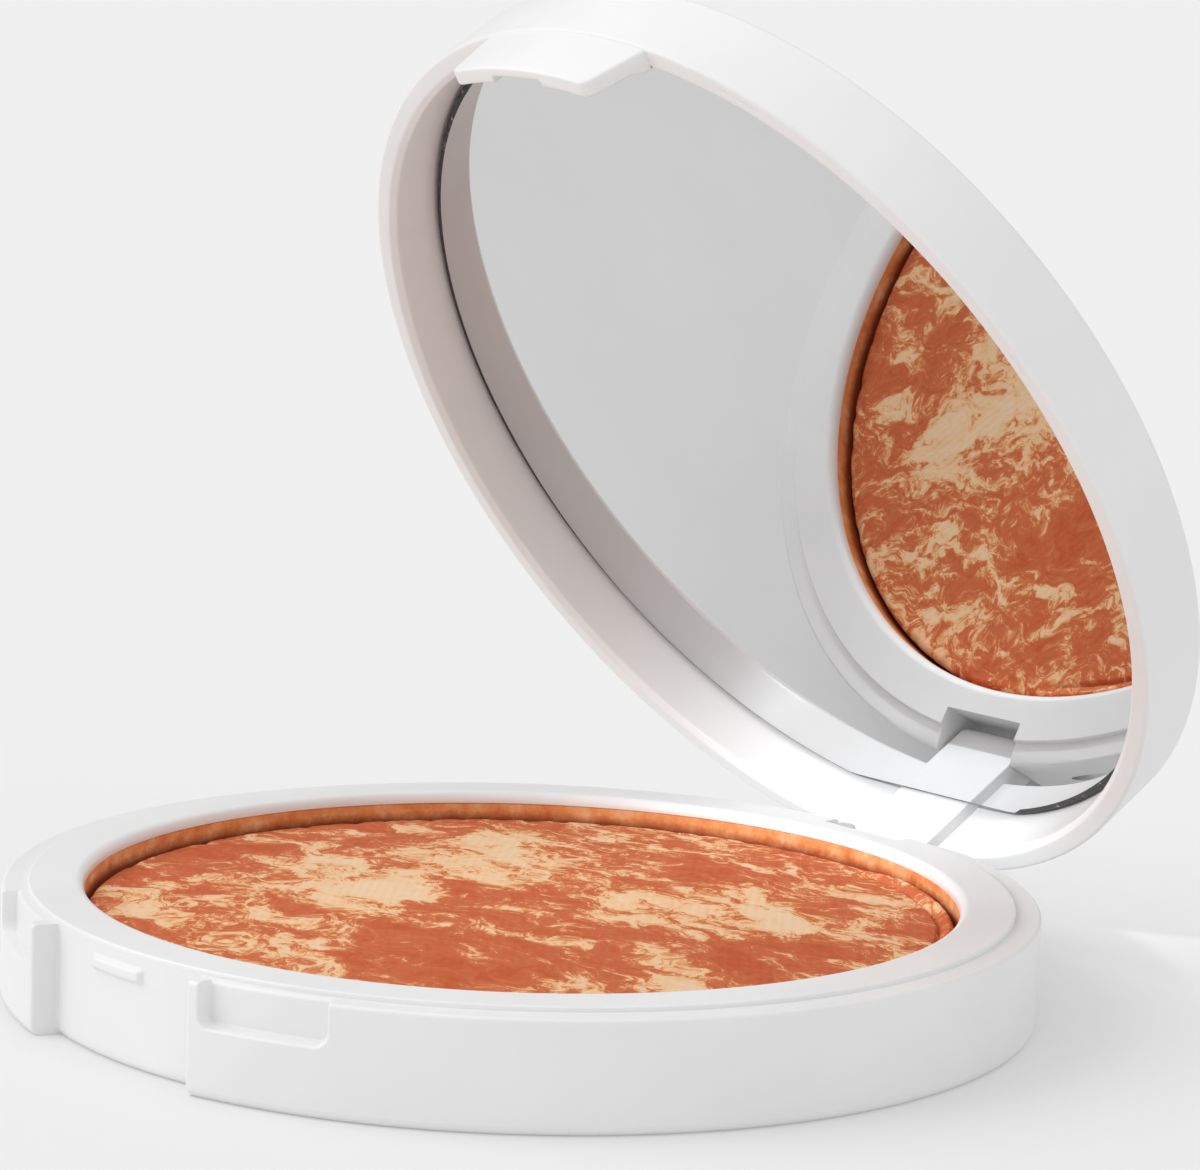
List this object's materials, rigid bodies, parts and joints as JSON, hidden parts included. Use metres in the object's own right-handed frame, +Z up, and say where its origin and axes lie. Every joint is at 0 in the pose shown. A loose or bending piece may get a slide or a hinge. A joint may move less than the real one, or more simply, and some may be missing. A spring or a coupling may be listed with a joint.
{
  "type": "powder compact",
  "caption": "Round glossy white powder compact with a hinged mirror lid, snap latch tab, nail pockets and a domed marbled powder cake in an orange pan.",
  "frame": {"origin": "centre of the base's underside, on the plane it stands on", "axes": "+Z up, latch towards -Y, hinge towards +Y, hinge pin along X"},
  "size_m": [0.0806, 0.0868, 0.078],
  "materials": {
    "white_plastic": "glossy moulded white",
    "bezel_plastic": "glossy moulded white",
    "pan": "smooth orange",
    "powder": "matte baked powder, terracotta marbled with cream",
    "adhesive": "foam tape",
    "steel": "drawn wire",
    "label": "blank satin film",
    "mirror": "silvered glass"
  },
  "bodies": {
    "base": {"base_shell": "white_plastic", "powder_bezel": "bezel_plastic", "powder_pan": "pan", "powder_cake": "powder", "pan_adhesive": "adhesive", "hinge_pin": "steel", "underside_label": "label"},
    "lid": {"lid_shell": "white_plastic", "mirror": "mirror", "mirror_adhesive": "adhesive"}
  },
  "joints": [
    {"name": "lid_hinge", "type": "hinge", "parent": "base", "child": "lid", "pos_m": [0, 0.03859, 0.00545], "axis": [-1, 0, 0], "range_deg": [-59, 61]}
  ]
}
